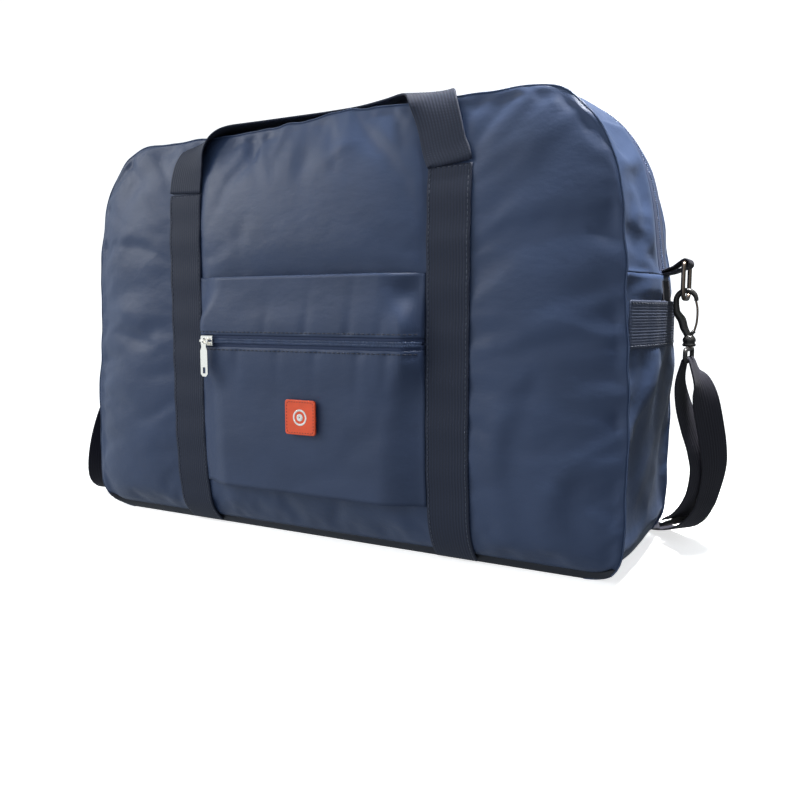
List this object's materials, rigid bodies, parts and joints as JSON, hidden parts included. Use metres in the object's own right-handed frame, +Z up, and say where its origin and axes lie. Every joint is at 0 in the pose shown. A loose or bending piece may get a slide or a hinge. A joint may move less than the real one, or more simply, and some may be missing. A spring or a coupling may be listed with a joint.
{
  "type": "foldable travel tote bag",
  "caption": "Zipped nylon travel tote with a trolley sleeve and zipped pocket, webbing handles, and a hooked, adjustable shoulder strap.",
  "frame": {"origin": "centre of the flat base that the bag stands on", "axes": "+Z up; +X along the bag's length, to the right seen from the trolley sleeve; -Y out of the sleeve's face"},
  "size_m": [0.596, 0.2713, 0.3506],
  "materials": {
    "navy_nylon": "woven nylon, light sheen",
    "navy_webbing": "ribbed polyester webbing, matte",
    "black_webbing": "ribbed polyester webbing, matte",
    "zip_tape": "knitted zip tape, matte",
    "zip_coil": "nylon coil, satin",
    "polished_metal": "polished, slightly worn",
    "black_plastic": "moulded, satin",
    "dark_metal": "dark plated, satin",
    "orange_leather": "moulded grain, satin"
  },
  "bodies": {
    "bag": {"front_panel": "navy_nylon", "back_panel": "navy_nylon", "base_panel": "navy_nylon", "right_end_panel": "navy_nylon", "left_end_panel": "navy_nylon", "top_gusset_front": "navy_nylon", "top_gusset_rear": "navy_nylon", "main_zip_tape_front": "zip_tape", "main_zip_tape_rear": "zip_tape", "main_zip_chain": "zip_coil", "front_seam_binding": "zip_tape", "rear_seam_binding": "zip_tape", "sleeve_upper_panel": "navy_nylon", "sleeve_lower_panel": "navy_nylon", "sleeve_pocket_lining": "navy_nylon", "pocket_zip_tape_upper": "zip_tape", "pocket_zip_tape_lower": "zip_tape", "pocket_zip_chain": "zip_coil", "logo_patch": "orange_leather", "front_webbing_right": "navy_webbing", "front_webbing_left": "navy_webbing", "rear_webbing_right": "navy_webbing", "rear_webbing_left": "navy_webbing", "right_end_band": "navy_webbing", "left_end_band": "navy_webbing", "right_ring_tab": "black_webbing", "left_ring_tab": "black_webbing", "right_swivel_eye": "black_plastic", "left_swivel_eye": "black_plastic", "shoulder_strap": "black_webbing", "strap_adjuster": "black_plastic"},
    "right_main_slider": {"main_slider_right": "polished_metal"},
    "left_main_slider": {"main_slider_left": "polished_metal"},
    "right_main_pull": {"main_pull_right": "polished_metal"},
    "left_main_pull": {"main_pull_left": "polished_metal"},
    "pocket_slider_body": {"pocket_slider": "polished_metal"},
    "pocket_pull_body": {"pocket_pull": "polished_metal"},
    "front_handle": {"front_handle_loop": "navy_webbing"},
    "rear_handle": {"rear_handle_loop": "navy_webbing"},
    "right_ring": {"right_d_ring": "dark_metal"},
    "left_ring": {"left_d_ring": "dark_metal"},
    "right_hook": {"right_snap_hook": "black_plastic"},
    "left_hook": {"left_snap_hook": "black_plastic"},
    "right_gate": {"right_hook_gate": "dark_metal"},
    "left_gate": {"left_hook_gate": "dark_metal"}
  },
  "joints": [
    {"name": "right_slider_slide", "type": "slide", "parent": "bag", "child": "right_main_slider", "axis": [1, 0, 0], "range_m": [0, 0.135]},
    {"name": "right_pull_hinge", "type": "hinge", "parent": "right_main_slider", "child": "right_main_pull", "pos_m": [0.0136, 0, 0.34775], "axis": [0, -1, 0], "range_deg": [0, 95]},
    {"name": "left_slider_slide", "type": "slide", "parent": "bag", "child": "left_main_slider", "axis": [-1, 0, 0], "range_m": [0, 0.135]},
    {"name": "left_pull_hinge", "type": "hinge", "parent": "left_main_slider", "child": "left_main_pull", "pos_m": [-0.0136, 0, 0.34775], "axis": [0, 1, 0], "range_deg": [0, 95]},
    {"name": "pocket_slider_slide", "type": "slide", "parent": "bag", "child": "pocket_slider_body", "axis": [1, 0, 0], "range_m": [0, 0.168]},
    {"name": "pocket_pull_hinge", "type": "hinge", "parent": "pocket_slider_body", "child": "pocket_pull_body", "pos_m": [-0.085, -0.1065, 0.162], "axis": [-1, 0, 0], "range_deg": [0, 110]},
    {"name": "front_handle_swing", "type": "hinge", "parent": "bag", "child": "front_handle", "pos_m": [0, -0.0832, 0.2886], "axis": [1, 0, 0], "range_deg": [0, 115]},
    {"name": "rear_handle_swing", "type": "hinge", "parent": "bag", "child": "rear_handle", "pos_m": [0, 0.0868, 0.2886], "axis": [1, 0, 0], "range_deg": [0, 170]},
    {"name": "right_ring_swing", "type": "hinge", "parent": "bag", "child": "right_ring", "pos_m": [0.269, 0, 0.219], "axis": [0, -1, 0], "range_deg": [-4, 4]},
    {"name": "right_hook_swivel", "type": "hinge", "parent": "bag", "child": "right_hook", "pos_m": [0.2725, 0, 0.165], "axis": [0, 0, 1], "range_deg": [-15, 15]},
    {"name": "right_gate_hinge", "type": "hinge", "parent": "right_hook", "child": "right_gate", "pos_m": [0.2755, 0, 0.1712], "axis": [0, -1, 0], "range_deg": [0, 18], "stiffness_Nm_per_rad": 0.004},
    {"name": "left_ring_swing", "type": "hinge", "parent": "bag", "child": "left_ring", "pos_m": [-0.269, 0, 0.219], "axis": [0, 1, 0], "range_deg": [-4, 4]},
    {"name": "left_hook_swivel", "type": "hinge", "parent": "bag", "child": "left_hook", "pos_m": [-0.2725, 0, 0.165], "axis": [0, 0, 1], "range_deg": [-15, 15]},
    {"name": "left_gate_hinge", "type": "hinge", "parent": "left_hook", "child": "left_gate", "pos_m": [-0.2755, 0, 0.1712], "axis": [0, 1, 0], "range_deg": [0, 18], "stiffness_Nm_per_rad": 0.004}
  ]
}
